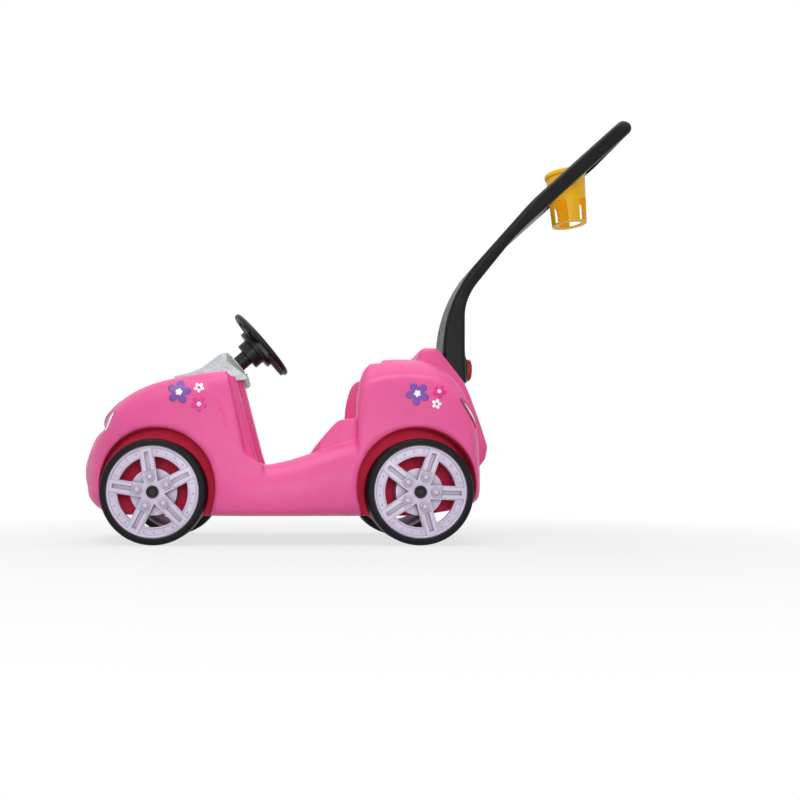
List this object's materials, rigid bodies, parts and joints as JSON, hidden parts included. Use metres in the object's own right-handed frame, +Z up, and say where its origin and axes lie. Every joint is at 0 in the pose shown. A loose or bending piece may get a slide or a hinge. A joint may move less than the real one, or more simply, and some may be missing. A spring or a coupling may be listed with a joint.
{
  "type": "push car with handle",
  "caption": "Child's ride-in push car with spoked wheels, turning steering wheel, and a push handle with a swinging cup holder that folds under the body.",
  "frame": {"origin": "on the ground, below the middle of the bounding box, on the car's middle plane", "axes": "+Z up, the car faces -X, and its left side is -Y"},
  "size_m": [1.2102, 0.4659, 0.9226],
  "materials": {
    "shell": "moulded polyethylene, soft satin",
    "dash": "silver plastic with fine speckle",
    "black": "black plastic, fine grain",
    "handle": "black blow-moulded plastic, satin",
    "rim": "silver lavender plastic, satin",
    "tyre": "hard black moulded tyre, satin",
    "red": "red plastic, satin",
    "yellow": "yellow plastic, satin",
    "steel": "zinc-plated steel",
    "nylon": "natural nylon"
  },
  "bodies": {
    "car": {"body_shell": "shell", "dash_console": "dash", "dash_screws": "steel", "steering_shaft": "steel", "shaft_nut": "steel", "column_bush": "nylon", "front_axle": "steel", "rear_axle": "steel", "front_push_nuts": "steel", "rear_push_nuts": "steel", "front_axle_spacers": "nylon", "rear_axle_spacers": "nylon", "pivot_rod": "steel", "pivot_washers": "nylon", "strike_plate": "steel"},
    "wheel_front_left": {"tyre_front_left": "tyre", "rim_front_left": "rim", "hub_cap_front_left": "black", "wheel_bush_front_left": "nylon"},
    "wheel_front_right": {"tyre_front_right": "tyre", "rim_front_right": "rim", "hub_cap_front_right": "black", "wheel_bush_front_right": "nylon"},
    "wheel_rear_left": {"tyre_rear_left": "tyre", "rim_rear_left": "rim", "hub_cap_rear_left": "black", "wheel_bush_rear_left": "nylon"},
    "wheel_rear_right": {"tyre_rear_right": "tyre", "rim_rear_right": "rim", "hub_cap_rear_right": "black", "wheel_bush_rear_right": "nylon"},
    "steering": {"steering_wheel": "black", "steering_column": "black", "horn_spring": "steel"},
    "horn": {"horn_button": "black"},
    "handle": {"handle": "handle", "pivot_bushes": "nylon", "latch_spring": "steel"},
    "latch": {"latch_button": "red", "latch_pin": "red"},
    "cup": {"cup_holder": "yellow", "cup_pins": "yellow"}
  },
  "joints": [
    {"name": "front_left_wheel_spin", "type": "hinge", "parent": "car", "child": "wheel_front_left", "pos_m": [-0.426, -0.192, 0.1105], "axis": [0, 1, 0], "continuous": true},
    {"name": "front_right_wheel_spin", "type": "hinge", "parent": "car", "child": "wheel_front_right", "pos_m": [-0.426, 0.192, 0.1105], "axis": [0, 1, 0], "continuous": true},
    {"name": "rear_left_wheel_spin", "type": "hinge", "parent": "car", "child": "wheel_rear_left", "pos_m": [0.126, -0.192, 0.1105], "axis": [0, 1, 0], "continuous": true},
    {"name": "rear_right_wheel_spin", "type": "hinge", "parent": "car", "child": "wheel_rear_right", "pos_m": [0.126, 0.192, 0.1105], "axis": [0, 1, 0], "continuous": true},
    {"name": "steering_spin", "type": "hinge", "parent": "car", "child": "steering", "pos_m": [-0.207, 0, 0.447], "axis": [0.7547, 0, 0.6561], "continuous": true},
    {"name": "horn_press", "type": "slide", "parent": "steering", "child": "horn", "axis": [-0.7547, 0, -0.6561], "range_m": [0, 0.004], "stiffness_N_per_m": 300, "deforming": ["horn_spring"]},
    {"name": "handle_fold", "type": "hinge", "parent": "car", "child": "handle", "pos_m": [0.24, 0, 0.201], "axis": [0, 1, 0], "range_deg": [0, 227]},
    {"name": "latch_press", "type": "slide", "parent": "handle", "child": "latch", "axis": [-1, 0, 0], "range_m": [0, 0.008], "stiffness_N_per_m": 400, "deforming": ["latch_spring"]},
    {"name": "cup_swing", "type": "hinge", "parent": "handle", "child": "cup", "pos_m": [0.49515, 0, 0.82191], "axis": [0, 1, 0], "range_deg": [-227, 0]}
  ],
  "couplings": [
    {"joint": "cup_swing", "follows": "handle_fold", "ratio": -1}
  ]
}
